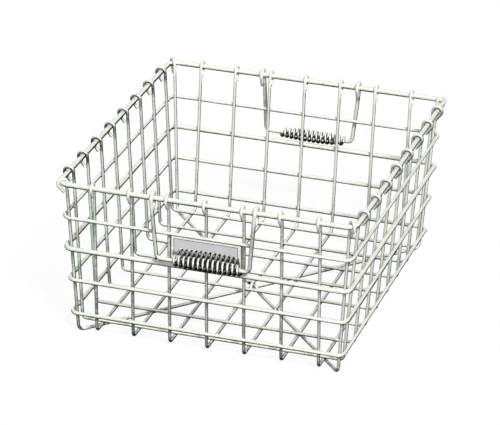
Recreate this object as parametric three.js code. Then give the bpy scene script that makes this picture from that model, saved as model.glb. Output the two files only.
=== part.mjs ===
// A dish draining basket of welded tinned wire, with a drop handle in a coiled grip at each end.
// Millimetres, +Z up. The basket stands on z = 0, centred on the origin; the wall that carries the
// label plate is the front, towards -Y, and +X is to the right of someone facing that wall.
import * as THREE from 'three';

// The rim, measured between the centres of the rim wire.
const RIM_WIDTH = 400;
const RIM_DEPTH = 453;
const RIM_HEIGHT = 220;
const RIM_CORNER_RADIUS = 14;

// The floor, measured between the centres of the wires where they turn up into the walls.
const FLOOR_WIDTH = 360;
const FLOOR_DEPTH = 412;
const FLOOR_DIAGONAL = 542;

// Wire diameters.
const RIM_WIRE = 7;
const STOUT_BAND_WIRE = 6.6;
const BAND_WIRE = 5.2;
const SLIM_BAND_WIRE = 4.8;
const ROD_WIRE = 4.4;
const BAIL_WIRE = 5.4;
const COIL_WIRE = 3.6;

// The rods that run front to back and side to side, each bent up into two walls.
const LONG_RODS = 7;
const LONG_ROD_PITCH = 50.8;
const LONG_ROD_BEND = 7;
const CROSS_RODS = 8;
const CROSS_ROD_PITCH = 52.75;
const CROSS_ROD_BEND = 7;
const DIAGONAL_BEND = 9;

// Heights of the bands' centres, and where the ends of a band or rim meet along the back wall.
const UPPER_BAND_HEIGHT = 171;
const STOUT_BAND_HEIGHT = 126;
const MIDDLE_BAND_HEIGHT = 80;
const LOWER_BAND_HEIGHT = 30.5;
const BUTT_JOINT_X = 25;
const BUTT_JOINT_GAP = 0.4;

// A hook closes each rod's end over the rim; its tail comes back to the rod this far below.
const HOOK_PLAY = 0.55;
const TAIL_DROP = 13.5;
const TAIL_GAP = 0.1;

// Space between welded neighbours, and the joggle that lifts one wire over another.
const WELD_GAP = 0.2;
const CORNER_GAP = 0.6;
const JOGGLE_TOP = 7;
const JOGGLE_RUN = 10;

// The drop handles.
const BAIL_EYE_WIDTH = 139;
const BAIL_BAR_WIDTH = 125.5;
const BAIL_BAR_DROP = 83;
const BAIL_BEND = 7;
const EYE_PLAY = 1.1;
const EYE_DROP = 16;
const EYE_GAP = 0.3;
const BAIL_LEAN = THREE.MathUtils.degToRad(3.7);
const FRONT_BAIL_X = -0.5;
const BACK_BAIL_X = 6;

// The barrel-shaped coil grips, each pushed towards +X along its bar.
const COIL_TURNS = 14;
const COIL_LENGTH = 92.4;
const COIL_END_DIAMETER = 14.2;
const COIL_MIDDLE_DIAMETER = 18.4;
const FRONT_GRIP_SHIFT = 6;
const BACK_GRIP_SHIFT = 6.5;

// The label plate, curled round two rods of the front wall between the upper and the stout band.
const PLATE_THICKNESS = 0.8;
const PLATE_HEIGHT = 38.4;
const PLATE_PLAY = 0.4;
const PLATE_CURL = THREE.MathUtils.degToRad(75);

// Facets.
const WIRE_SIDES = 8;
const COIL_SIDES = 5;
const COIL_STEPS_PER_TURN = 8;
const HOOK_STEPS = 7;
const BEND_STEPS = 3;
const CORNER_STEPS = 4;
const CURL_SEGMENTS = 6;

// Finishes: bright tinned wire, and the duller rolled sheet of the plate.
const tinnedWire = new THREE.MeshStandardMaterial({ color: 0xd8dace, roughness: 0.32, metalness: 0.95 });
const springWire = new THREE.MeshStandardMaterial({ color: 0xcfd1c8, roughness: 0.28, metalness: 0.95 });
const tinSheet = new THREE.MeshStandardMaterial({ color: 0xc6c8cc, roughness: 0.3, metalness: 0.9 });

const basket = new THREE.Group();

/** A curve through given stations, each a point with the direction of the wire there. */
class WireRoute extends THREE.Curve {
  constructor(stations) {
    super();
    this.stations = stations;
  }

  stationAt(u) {
    return this.stations[Math.round(u * (this.stations.length - 1))];
  }

  getPointAt(u, target = new THREE.Vector3()) {
    return target.copy(this.stationAt(u).point);
  }

  getTangentAt(u, target = new THREE.Vector3()) {
    return target.copy(this.stationAt(u).direction);
  }
}

function station(point, direction) {
  return { point, direction: direction.clone().normalize() };
}

/** A regular polygon with a flat on each side, of the same area as the round wire. */
function wireSection(diameter, sides) {
  const apothem = (diameter / 2) * Math.sqrt(Math.PI / (sides * Math.tan(Math.PI / sides)));
  const radius = apothem / Math.cos(Math.PI / sides);
  const points = Array.from({ length: sides }, (_, side) => {
    const angle = ((2 * side + 1) * Math.PI) / sides;
    return new THREE.Vector2(radius * Math.cos(angle), radius * Math.sin(angle));
  });
  return { shape: new THREE.Shape(points), apothem };
}

/** A closed solid wire along its stations. */
function wireMesh(name, stations, diameter, material, sides = WIRE_SIDES) {
  const geometry = new THREE.ExtrudeGeometry(wireSection(diameter, sides).shape, {
    steps: stations.length - 1,
    extrudePath: new WireRoute(stations),
  });
  const mesh = new THREE.Mesh(geometry, material);
  mesh.name = name;
  return mesh;
}

/** The round bend where two straight runs would otherwise meet at a sharp corner. */
function bend(corner, directionIn, directionOut, radius, steps) {
  const turn = directionIn.angleTo(directionOut);
  const start = corner.clone().addScaledVector(directionIn, -radius * Math.tan(turn / 2));
  const inward = directionOut.clone().addScaledVector(directionIn, -Math.cos(turn)).normalize();
  const centre = start.clone().addScaledVector(inward, radius);
  return Array.from({ length: steps + 1 }, (_, step) => {
    const angle = (turn * step) / steps;
    const point = centre.clone()
      .addScaledVector(inward, -radius * Math.cos(angle))
      .addScaledVector(directionIn, radius * Math.sin(angle));
    const direction = directionIn.clone().multiplyScalar(Math.cos(angle));
    return station(point, direction.addScaledVector(inward, Math.sin(angle)));
  });
}

/** A clockwise arc in the plane of two axes, where an angle of zero lies along the first axis. */
function clockwiseArc(centre, across, up, radius, from, to, steps) {
  return Array.from({ length: steps + 1 }, (_, step) => {
    const angle = from + ((to - from) * step) / steps;
    const point = centre.clone()
      .addScaledVector(across, radius * Math.cos(angle))
      .addScaledVector(up, radius * Math.sin(angle));
    const direction = across.clone().multiplyScalar(Math.sin(angle));
    return station(point, direction.addScaledVector(up, -Math.cos(angle)));
  });
}

const X_AXIS = new THREE.Vector3(1, 0, 0);
const Y_AXIS = new THREE.Vector3(0, 1, 0);
const Z_AXIS = new THREE.Vector3(0, 0, 1);

// Layers of the floor: the diagonals lie lowest, then the long rods, then the cross rods on top.
const LAYER_STEP = ROD_WIRE + WELD_GAP;
const DIAGONAL_LAYER = wireSection(ROD_WIRE, WIRE_SIDES).apothem;
const LONG_ROD_LAYER = DIAGONAL_LAYER + LAYER_STEP;
const CROSS_ROD_LAYER = LONG_ROD_LAYER + LAYER_STEP;
const HOOK_RADIUS = (RIM_WIRE + ROD_WIRE) / 2 + HOOK_PLAY;

/** How far a rod's upright leans out, from its foot to where it runs onto its hook. */
function uprightLean(rimReach, footReach, layer) {
  const across = rimReach - footReach;
  const rise = RIM_HEIGHT - layer;
  return Math.atan2(across, rise) - Math.asin(HOOK_RADIUS / Math.hypot(across, rise));
}

/** One half of a hooked rod in the XZ plane, from its foot's bend to the tail of its hook. */
function hookedHalf(rimReach, footReach, layer, bendRadius) {
  const lean = uprightLean(rimReach, footReach, layer);
  const upright = new THREE.Vector3(Math.sin(lean), 0, Math.cos(lean));
  const rimCentre = new THREE.Vector3(rimReach, 0, RIM_HEIGHT);
  const tailAcross = (ROD_WIRE + TAIL_GAP - HOOK_RADIUS) / Math.cos(lean) - Math.tan(lean) * TAIL_DROP;
  const tailEnd = new THREE.Vector3(rimReach + tailAcross, 0, RIM_HEIGHT - TAIL_DROP);
  const tailAngle = Math.atan2(-TAIL_DROP, tailAcross)
    + Math.acos(HOOK_RADIUS / Math.hypot(tailAcross, TAIL_DROP));
  const foot = bend(new THREE.Vector3(footReach, 0, layer), X_AXIS, upright, bendRadius, BEND_STEPS);
  const hook = clockwiseArc(rimCentre, X_AXIS, Z_AXIS, HOOK_RADIUS, Math.PI - lean, tailAngle, HOOK_STEPS);
  const tail = station(tailEnd, hook.at(-1).direction);
  return [...foot, ...hook, tail];
}

/** A whole hooked rod, its two ends alike, with a joggle in the middle of the floor if it has one. */
function hookedRod(rimReach, footReach, layer, bendRadius, joggleRise = 0) {
  const half = hookedHalf(rimReach, footReach, layer, bendRadius);
  const mirrored = half.toReversed().map(({ point, direction }) => station(
    new THREE.Vector3(-point.x, 0, point.z),
    new THREE.Vector3(direction.x, 0, -direction.z),
  ));
  const joggle = [
    [-JOGGLE_TOP - JOGGLE_RUN, 0],
    [-JOGGLE_TOP, joggleRise],
    [JOGGLE_TOP, joggleRise],
    [JOGGLE_TOP + JOGGLE_RUN, 0],
  ].map(([across, rise]) => station(new THREE.Vector3(across, 0, layer + rise), X_AXIS));
  return [...mirrored, ...(joggleRise > 0 ? joggle : []), ...half];
}

// The long rods, front to back; the middle one steps over the crossing of the diagonals.
const middleLongRod = (LONG_RODS + 1) / 2;
for (let number = 1; number <= LONG_RODS; number += 1) {
  const rise = number === middleLongRod ? LAYER_STEP : 0;
  const route = hookedRod(RIM_DEPTH / 2, FLOOR_DEPTH / 2, LONG_ROD_LAYER, LONG_ROD_BEND, rise);
  const rod = wireMesh(`long_rod_${number}`, route, ROD_WIRE, tinnedWire);
  rod.rotation.z = Math.PI / 2;
  rod.position.x = (number - middleLongRod) * LONG_ROD_PITCH;
  basket.add(rod);
}

// The cross rods, side to side, numbered from the front.
for (let number = 1; number <= CROSS_RODS; number += 1) {
  const route = hookedRod(RIM_WIDTH / 2, FLOOR_WIDTH / 2, CROSS_ROD_LAYER, CROSS_ROD_BEND);
  const rod = wireMesh(`cross_rod_${number}`, route, ROD_WIRE, tinnedWire);
  rod.position.y = (number - (CROSS_RODS + 1) / 2) * CROSS_ROD_PITCH;
  basket.add(rod);
}

// The diagonals run from corner to corner under the floor and up the four corners of the walls.
const cornerCentre = new THREE.Vector2(RIM_WIDTH / 2 - RIM_CORNER_RADIUS, RIM_DEPTH / 2 - RIM_CORNER_RADIUS);
const diagonalAngle = cornerCentre.angle();
const diagonalReach = cornerCentre.length() + RIM_CORNER_RADIUS;
const diagonals = [
  { name: 'under_diagonal_rod', angle: diagonalAngle, rise: 0 },
  { name: 'over_diagonal_rod', angle: -diagonalAngle, rise: LAYER_STEP },
];
for (const { name, angle, rise } of diagonals) {
  const route = hookedRod(diagonalReach, FLOOR_DIAGONAL / 2, DIAGONAL_LAYER, DIAGONAL_BEND, rise);
  const rod = wireMesh(name, route, ROD_WIRE, tinnedWire);
  rod.rotation.z = angle;
  basket.add(rod);
}

/** A round-cornered rectangle of wire at one height, its ends meeting along the back wall. */
function wireLoop(halfWidth, halfDepth, height, cornerRadius) {
  const corner = (x, y) => new THREE.Vector3(x, y, height);
  const left = X_AXIS.clone().negate();
  const forward = Y_AXIS.clone().negate();
  const start = corner(BUTT_JOINT_X + BUTT_JOINT_GAP / 2, halfDepth);
  const end = corner(BUTT_JOINT_X - BUTT_JOINT_GAP / 2, halfDepth);
  return [
    station(start, X_AXIS),
    ...bend(corner(halfWidth, halfDepth), X_AXIS, forward, cornerRadius, CORNER_STEPS),
    ...bend(corner(halfWidth, -halfDepth), forward, left, cornerRadius, CORNER_STEPS),
    ...bend(corner(-halfWidth, -halfDepth), left, Y_AXIS, cornerRadius, CORNER_STEPS),
    ...bend(corner(-halfWidth, halfDepth), Y_AXIS, X_AXIS, cornerRadius, CORNER_STEPS),
    station(end, X_AXIS),
  ];
}

const rimRoute = wireLoop(RIM_WIDTH / 2, RIM_DEPTH / 2, RIM_HEIGHT, RIM_CORNER_RADIUS);
basket.add(wireMesh('rim_wire', rimRoute, RIM_WIRE, tinnedWire));

/** Distance of an upright's centre from the middle of the basket, at one height. */
function uprightReach(rimReach, footReach, layer, height) {
  return footReach + (height - layer) * Math.tan(uprightLean(rimReach, footReach, layer));
}

/** A band outside the uprights, its corners rounded so that they lie against the corner rods. */
function bandRoute(height, diameter) {
  const standoff = (ROD_WIRE + diameter) / 2 + WELD_GAP;
  const halfWidth = standoff + uprightReach(RIM_WIDTH / 2, FLOOR_WIDTH / 2, CROSS_ROD_LAYER, height);
  const halfDepth = standoff + uprightReach(RIM_DEPTH / 2, FLOOR_DEPTH / 2, LONG_ROD_LAYER, height);
  const cornerRod = uprightReach(diagonalReach, FLOOR_DIAGONAL / 2, DIAGONAL_LAYER, height);
  const cornerReach = cornerRod + (ROD_WIRE + diameter) / 2 + CORNER_GAP;
  const along = Math.cos(diagonalAngle);
  const up = Math.sin(diagonalAngle);
  const cornerRadius = (halfWidth * along + halfDepth * up - cornerReach) / (along + up - 1);
  return wireLoop(halfWidth, halfDepth, height, cornerRadius);
}

const bands = [
  { name: 'upper_band', height: UPPER_BAND_HEIGHT, diameter: SLIM_BAND_WIRE },
  { name: 'stout_band', height: STOUT_BAND_HEIGHT, diameter: STOUT_BAND_WIRE },
  { name: 'middle_band', height: MIDDLE_BAND_HEIGHT, diameter: BAND_WIRE },
  { name: 'lower_band', height: LOWER_BAND_HEIGHT, diameter: BAND_WIRE },
];
for (const { name, height, diameter } of bands) {
  basket.add(wireMesh(name, bandRoute(height, diameter), diameter, tinnedWire));
}

/** A flat sheet before the middle rod, whose ends turn back and curl behind the outer rods, seen from above. */
function plateOutline(halfSpan) {
  const inner = ROD_WIRE / 2 + PLATE_PLAY;
  const outer = inner + PLATE_THICKNESS;
  const turn = halfSpan - inner - outer;
  const front = -Math.PI / 2;
  const outline = new THREE.Shape();
  outline.moveTo(-turn, -outer);
  outline.lineTo(turn, -outer);
  outline.absarc(turn, 0, outer, front, 0, false);
  outline.absarc(halfSpan, 0, inner, Math.PI, PLATE_CURL, true);
  outline.absarc(halfSpan, 0, outer, PLATE_CURL, Math.PI, false);
  outline.absarc(turn, 0, inner, 0, front, true);
  outline.lineTo(-turn, -inner);
  outline.absarc(-turn, 0, inner, front, -Math.PI, true);
  outline.absarc(-halfSpan, 0, outer, 0, Math.PI - PLATE_CURL, false);
  outline.absarc(-halfSpan, 0, inner, Math.PI - PLATE_CURL, 0, true);
  outline.absarc(-turn, 0, outer, -Math.PI, front, false);
  return outline;
}

const frontLean = uprightLean(RIM_DEPTH / 2, FLOOR_DEPTH / 2, LONG_ROD_LAYER);
const plateTop = UPPER_BAND_HEIGHT - SLIM_BAND_WIRE / 2 - PLATE_PLAY;
const plateBottom = plateTop - PLATE_HEIGHT * Math.cos(frontLean);
const labelPlate = new THREE.Mesh(
  new THREE.ExtrudeGeometry(plateOutline(LONG_ROD_PITCH), {
    depth: PLATE_HEIGHT,
    curveSegments: CURL_SEGMENTS,
    bevelEnabled: false,
  }),
  tinSheet,
);
labelPlate.name = 'label_plate';
labelPlate.position.y = -uprightReach(RIM_DEPTH / 2, FLOOR_DEPTH / 2, LONG_ROD_LAYER, plateBottom);
labelPlate.position.z = plateBottom;
labelPlate.rotation.x = frontLean;
basket.add(labelPlate);

// A handle's eye goes round the rim with play all round, so that the handle swings on it.
const EYE_RADIUS = (RIM_WIRE + BAIL_WIRE) / 2 + EYE_PLAY;

/** Half of a bail, from the tail of its eye to its bar, about the rim's axis; outwards is -Y. */
function bailHalf() {
  const outward = Y_AXIS.clone().negate();
  const eyeCentre = new THREE.Vector3(-BAIL_EYE_WIDTH / 2, 0, 0);
  const tailAcross = EYE_RADIUS - BAIL_WIRE - EYE_GAP;
  const tailAngle = Math.atan2(-EYE_DROP, tailAcross) + 2 * Math.PI
    - Math.acos(EYE_RADIUS / Math.hypot(tailAcross, EYE_DROP));
  const eye = clockwiseArc(eyeCentre, outward, Z_AXIS, EYE_RADIUS, tailAngle, 0, HOOK_STEPS);
  const tailEnd = eyeCentre.clone()
    .addScaledVector(outward, tailAcross)
    .addScaledVector(Z_AXIS, -EYE_DROP);
  const barEnd = new THREE.Vector3(-BAIL_BAR_WIDTH / 2, -EYE_RADIUS, -BAIL_BAR_DROP);
  const leg = barEnd.clone().sub(eye.at(-1).point).normalize();
  return [
    station(tailEnd, eye[0].direction),
    ...eye,
    ...bend(barEnd, leg, X_AXIS, BAIL_BEND, BEND_STEPS),
  ];
}

/** The whole bail: a half, and its mirror image on the other side of the middle of the bar. */
function bailRoute() {
  const half = bailHalf();
  const mirrored = half.toReversed().map(({ point, direction }) => station(
    new THREE.Vector3(-point.x, point.y, point.z),
    new THREE.Vector3(direction.x, -direction.y, -direction.z),
  ));
  return [...half, ...mirrored];
}

/** The centre line of a coil grip along X: a right-handed helix that swells in the middle. */
function coilStations() {
  const steps = COIL_TURNS * COIL_STEPS_PER_TURN;
  const pointAt = (step) => {
    const share = step / steps;
    const angle = 2 * Math.PI * COIL_TURNS * share;
    const swell = Math.sin(Math.PI * share);
    const diameter = COIL_END_DIAMETER + (COIL_MIDDLE_DIAMETER - COIL_END_DIAMETER) * swell;
    const radius = (diameter - COIL_WIRE) / 2;
    return new THREE.Vector3((share - 0.5) * COIL_LENGTH, radius * Math.cos(angle), radius * Math.sin(angle));
  };
  const nudge = 0.01;
  return Array.from({ length: steps + 1 }, (_, step) => (
    station(pointAt(step), pointAt(step + nudge).sub(pointAt(step - nudge)))
  ));
}

/** The least space between neighbouring turns of a coil, measured on the points of its centre line. */
function leastTurnGap(stations) {
  let least = Infinity;
  for (let first = 0; first < stations.length; first += 1) {
    for (let second = first + COIL_STEPS_PER_TURN / 2; second < stations.length; second += 1) {
      least = Math.min(least, stations[first].point.distanceTo(stations[second].point));
    }
  }
  return least - COIL_WIRE;
}

const coilRoute = coilStations();
console.log(`least gap between a grip's turns: ${leastTurnGap(coilRoute).toFixed(2)} mm`);

// Each handle is made hanging straight down, then leans in until its grip is close to the stout band.
const handles = [
  { side: 'front', turn: 0, x: FRONT_BAIL_X, y: -RIM_DEPTH / 2, shift: FRONT_GRIP_SHIFT },
  { side: 'back', turn: Math.PI, x: BACK_BAIL_X, y: RIM_DEPTH / 2, shift: -BACK_GRIP_SHIFT },
];
for (const { side, turn, x, y, shift } of handles) {
  const bail = wireMesh(`${side}_bail`, bailRoute(), BAIL_WIRE, tinnedWire);
  const grip = wireMesh(`${side}_coil_grip`, coilRoute, COIL_WIRE, springWire, COIL_SIDES);
  grip.position.set(shift, -EYE_RADIUS, -BAIL_BAR_DROP);
  const swing = new THREE.Group();
  swing.rotation.x = BAIL_LEAN;
  swing.add(bail, grip);
  const hinge = new THREE.Group();
  hinge.position.set(x, y, RIM_HEIGHT);
  hinge.rotation.z = turn;
  hinge.add(swing);
  basket.add(hinge);
}

export default basket;
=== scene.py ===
"""A dish draining basket of welded tinned wire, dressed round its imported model.

Each wire is drawn out and bent as on a maker's bench, the label plate is a rolled and pressed sheet, and
the grips are wound turn by turn. All sizes are in metres, with +Z up and the plate's wall towards -Y.
"""

import logging
import math
from collections.abc import Callable
from dataclasses import dataclass, field
from enum import Enum

import bpy
from mathutils import Matrix, Vector


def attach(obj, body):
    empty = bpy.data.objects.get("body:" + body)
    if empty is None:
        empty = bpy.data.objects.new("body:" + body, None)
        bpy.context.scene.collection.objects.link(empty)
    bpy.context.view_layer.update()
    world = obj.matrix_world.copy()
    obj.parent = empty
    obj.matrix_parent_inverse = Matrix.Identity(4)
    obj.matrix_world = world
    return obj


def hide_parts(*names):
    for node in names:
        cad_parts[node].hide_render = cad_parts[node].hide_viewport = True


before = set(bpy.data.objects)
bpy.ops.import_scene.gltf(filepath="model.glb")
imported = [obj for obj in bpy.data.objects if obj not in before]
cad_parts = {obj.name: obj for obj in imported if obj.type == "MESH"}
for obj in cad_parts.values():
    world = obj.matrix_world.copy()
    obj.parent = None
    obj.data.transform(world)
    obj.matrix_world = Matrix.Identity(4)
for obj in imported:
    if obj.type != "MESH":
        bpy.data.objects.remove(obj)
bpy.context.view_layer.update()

log = logging.getLogger("basket")

ALONG = Vector((1, 0, 0))
BACKWARD = Vector((0, 1, 0))
UP = Vector((0, 0, 1))
# Name of the point attribute that holds painted tones: painted shade on coils and bars, and the plate's
# painted highlight and shaded line.
SHADE_TONE = "shade_tone"
# Most of a noise pattern's values lie in this range.
NOISE_SPAN = (0.3, 0.7)

Colour = tuple[float, float, float]
Span = tuple[float, float]
Spot = tuple[Vector, Vector]
Piece = bpy.types.Object
Vertex = bpy.types.MeshVertex
Material = bpy.types.Material
Node = bpy.types.Node
Socket = bpy.types.NodeSocket


class Body(Enum):
    """The rigid bodies that the pieces ride on."""

    FRAME = "frame"
    FRONT_HANDLE = "front_handle"
    BACK_HANDLE = "back_handle"
    FRONT_GRIP = "front_grip"
    BACK_GRIP = "back_grip"


class Slot(Enum):
    """The material slots that the pieces' finishes belong to."""

    WIRE = "tinned_wire"
    SPRING = "spring_wire"
    SHEET = "tin_sheet"


class Sum(Enum):
    """What a math node does with its values."""

    ADD = "ADD"
    LESS = "SUBTRACT"
    LARGEST = "MAXIMUM"
    SIZE = "ABSOLUTE"


def deselect() -> None:
    """Leaves nothing selected, so that the next operator acts on the new piece alone."""
    bpy.ops.object.select_all(action="DESELECT")


def copied(piece: Piece, name: str, place: Matrix) -> Piece:
    """Copies a piece with a mesh of its own and moves that mesh.

    Args:
        piece: The piece that was modelled.
        name: Name of the copy.
        place: Where the copy goes, from where the piece is.

    Returns:
        The copy, at the origin, with its place in its mesh.
    """
    twin = piece.copy()
    twin.data = piece.data.copy()
    twin.name = name
    twin.data.name = name
    twin.data.transform(place)
    bpy.context.scene.collection.objects.link(twin)
    return twin


def joined(pieces: list[Piece], name: str) -> Piece:
    """Joins small pieces into one.

    Args:
        pieces: The pieces to join.
        name: Name of what they become.

    Returns:
        The one piece.
    """
    deselect()
    for piece in pieces:
        piece.select_set(True)
    bpy.context.view_layer.objects.active = pieces[0]
    bpy.ops.object.join()
    pieces[0].name = name
    pieces[0].data.name = name
    return pieces[0]


def paint_shade_tone(piece: Piece, depth: Callable[[Vertex], float]) -> None:
    """Marks a painted tone at each point of a piece: painted shade where it is high, and on the plate's
    border a painted highlight where it is 0.

    Args:
        piece: The piece.
        depth: Gives the painted darkness at a point, from 0 for none to about 1.
    """
    layer = piece.data.attributes.new(SHADE_TONE, "FLOAT", "POINT")
    for vertex in piece.data.vertices:
        layer.data[vertex.index].value = depth(vertex)


def fasten(piece: Piece, body: Body, slot: Slot, finish: Material, *nodes: str) -> None:
    """Gives a piece its finish and the body that it rides on.

    Args:
        piece: The finished piece.
        body: The body that it moves with.
        slot: The material slot that its finish belongs to; not used.
        finish: The material.
        nodes: The solids that it stands for.
    """
    piece.data.materials.clear()
    piece.data.materials.append(finish)
    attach(piece, body.value)
    if nodes:
        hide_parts(*nodes)
    log.info("%s on %s: %d faces", piece.name, body.value, len(piece.data.polygons))


class NodeSheet:
    """The node tree of one material or world, with short ways to add and join its nodes."""

    def __init__(self, owner: Material | bpy.types.World) -> None:
        """Clears the owner's tree.

        Args:
            owner: The material or world that the nodes belong to.
        """
        owner.use_nodes = True
        self.tree = owner.node_tree
        self.tree.nodes.clear()

    def add(self, kind: str, **settings: object) -> Node:
        """Adds a node.

        Args:
            kind: Blender's name for the node's type.
            settings: Attributes of the node.

        Returns:
            The node.
        """
        node = self.tree.nodes.new(kind)
        for name, value in settings.items():
            setattr(node, name, value)
        return node

    def join(self, source: Socket, target: Socket) -> None:
        """Joins an output to an input."""
        self.tree.links.new(source, target)

    def noise(self, place: Socket, scale: float, detail: float) -> Socket:
        """Adds a noise pattern.

        Args:
            place: The coordinates that it reads.
            scale: How many patches go to a metre.
            detail: How many finer layers it has.

        Returns:
            The pattern's value, from 0 to 1.
        """
        node = self.add("ShaderNodeTexNoise")
        node.inputs["Scale"].default_value = scale
        node.inputs["Detail"].default_value = detail
        self.join(place, node.inputs["Vector"])
        return node.outputs["Fac"]

    def stretched(self, value: Socket, old: Span, new: Span) -> Socket:
        """Maps a value from one range onto another.

        Args:
            value: The value.
            old: Its range.
            new: The range that it is mapped onto.

        Returns:
            The mapped value.
        """
        node = self.add("ShaderNodeMapRange")
        for name, limit in zip(("From Min", "From Max", "To Min", "To Max"), (*old, *new)):
            node.inputs[name].default_value = limit
        self.join(value, node.inputs["Value"])
        return node.outputs["Result"]

    def part(self, vector: Socket, axis: str) -> Socket:
        """Takes the part of a vector along one axis.

        Args:
            vector: The vector.
            axis: X, Y or Z.

        Returns:
            The value along that axis.
        """
        node = self.add("ShaderNodeSeparateXYZ")
        self.join(vector, node.inputs["Vector"])
        return node.outputs[axis]

    def math(self, kind: Sum, *values: Socket) -> Socket:
        """Works out a value from one or two others.

        Args:
            kind: What is done with them.
            values: The values, in their order.

        Returns:
            The result.
        """
        node = self.add("ShaderNodeMath", operation=kind.value)
        for value, place in zip(values, node.inputs):
            self.join(value, place)
        return node.outputs["Value"]

    def ramp(self, value: Socket, stops: list[tuple[float, Colour]]) -> Socket:
        """Turns a value into a colour.

        Args:
            value: The value, from 0 to 1.
            stops: Places along the ramp with their colours.

        Returns:
            The colour.
        """
        node = self.add("ShaderNodeValToRGB")
        elements = node.color_ramp.elements
        while len(elements) < len(stops):
            elements.new(0.5)
        for element, (place, colour) in zip(elements, stops):
            element.position = place
            element.color = (*colour, 1)
        self.join(value, node.inputs["Fac"])
        return node.outputs["Color"]

    def metal(self, colour: Socket, roughness: Socket, relief: Socket, strength: float, depth: float) -> Node:
        """Adds a metal surface with a fine relief, and shows it.

        Args:
            colour: The metal's colour.
            roughness: Its roughness.
            relief: The pattern that stands out of it.
            strength: How much of the relief is seen.
            depth: How deep the relief is.

        Returns:
            The surface's node.
        """
        bump = self.add("ShaderNodeBump")
        bump.inputs["Strength"].default_value = strength
        bump.inputs["Distance"].default_value = depth
        self.join(relief, bump.inputs["Height"])
        metal = self.add("ShaderNodeBsdfPrincipled")
        self.join(colour, metal.inputs["Base Color"])
        self.join(roughness, metal.inputs["Roughness"])
        self.join(bump.outputs["Normal"], metal.inputs["Normal"])
        output = self.add("ShaderNodeOutputMaterial")
        self.join(metal.outputs["BSDF"], output.inputs["Surface"])
        return metal


@dataclass(frozen=True)
class WireFinish:
    """Satin tinned wire with painted light and shade: bright on top, green-grey at the sides and dark below,
    by the way each face points.

    Painted shade also darkens the basket's foot, the flanks of wires that face sideways and the points marked
    with painted tones, and shifts the hooks over the rim darker or lighter. Painted light brightens the right
    side over the left.
    """

    name: str = "tinned wire"
    # Colours by facing: painted light on faces that point up, painted shade on faces that point down.
    top: Colour = (0.92, 0.905, 0.84)
    side: Colour = (0.7, 0.77, 0.68)
    under: Colour = (0.045, 0.07, 0.045)
    stops: tuple[float, ...] = (0.26, 0.5, 0.8)
    metallic: float = 0.2
    edge_tint: Colour = (0.04, 0.05, 0.04)
    roughness: Span = (0.38, 0.54)
    # Painted shade that darkens the wires towards the bottom of the basket.
    foot_height: float = 0.1
    foot_shade: float = 0.13
    # Painted shade on the flanks of wires that face sideways.
    flank_facing: Span = (0.7, 0.95)
    flank_shade: float = 0.4
    # Painted light that brightens the wires on the right side of the basket.
    lit_side: Span = (0.12, 0.19)
    lit_side_gain: float = 0.12
    # Painted shade at the hooks over the rim; a value below 0 paints light there instead.
    hook_height: Span = (0.203, 0.212)
    hook_shade: float = 0
    mottle_scale: float = 260
    mottle_gain: float = 0.06
    patch_scale: float = 32
    patch_gain: float = 0.05
    grain_scale: float = 1500
    grain_strength: float = 0.35
    grain_depth: float = 0.00015

    def material(self) -> Material:
        """Makes the finish as a material.

        Returns:
            The material.
        """
        material = bpy.data.materials.new(self.name)
        sheet = NodeSheet(material)
        place = sheet.add("ShaderNodeTexCoord")
        mottle = sheet.noise(place.outputs["Object"], self.mottle_scale, detail=3)
        grain = sheet.noise(place.outputs["Object"], self.grain_scale, detail=2)
        shades = zip(self.stops, (self.under, self.side, self.top))
        colour = sheet.ramp(self._painted_shade_and_tone(sheet, place, mottle), list(shades))
        roughness = sheet.stretched(mottle, NOISE_SPAN, self.roughness)
        metal = sheet.metal(colour, roughness, grain, self.grain_strength, self.grain_depth)
        metal.inputs["Metallic"].default_value = self.metallic
        metal.inputs["Specular IOR Level"].default_value = 0
        metal.inputs["Specular Tint"].default_value = (*self.edge_tint, 1)
        return material

    def _painted_shade_and_tone(self, sheet: NodeSheet, place: Node, mottle: Socket) -> Socket:
        """How bright the wire is painted: painted light and shade by the way it faces, its own random tone in
        patches, and painted shade from the points' painted tones.

        Args:
            sheet: The nodes that it joins.
            place: The node that gives the coordinates.
            mottle: A fine noise pattern.

        Returns:
            A value from 0 for dark to 1 for bright.
        """
        patches = sheet.noise(place.outputs["Object"], self.patch_scale, detail=2)
        sideways = sheet.math(Sum.SIZE, sheet.part(place.outputs["Normal"], "X"))
        right = sheet.part(place.outputs["Object"], "X")
        rise = sheet.part(place.outputs["Object"], "Z")
        # Random tone from the mottle and patches; painted shade on sideways flanks, towards the foot and at
        # the hooks; painted light on the right side.
        changes = (
            (mottle, NOISE_SPAN, (-self.mottle_gain, self.mottle_gain)),
            (patches, NOISE_SPAN, (-self.patch_gain, self.patch_gain)),
            (sideways, self.flank_facing, (0, -self.flank_shade)),
            (right, self.lit_side, (0, self.lit_side_gain)),
            (rise, (0, self.foot_height), (-self.foot_shade, 0)),
            (rise, self.hook_height, (0, -self.hook_shade)),
        )
        # Painted light and shade by facing: faces that point up are bright, faces that point down are dark.
        lightness = sheet.stretched(sheet.part(place.outputs["Normal"], "Z"), (-1, 1), (0, 1))
        for value, old, new in changes:
            lightness = sheet.math(Sum.ADD, lightness, sheet.stretched(value, old, new))
        # Darker where the points' painted tones mark painted shade.
        painted_darkness = sheet.add("ShaderNodeAttribute", attribute_name=SHADE_TONE)
        return sheet.math(Sum.LESS, lightness, painted_darkness.outputs["Fac"])


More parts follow.
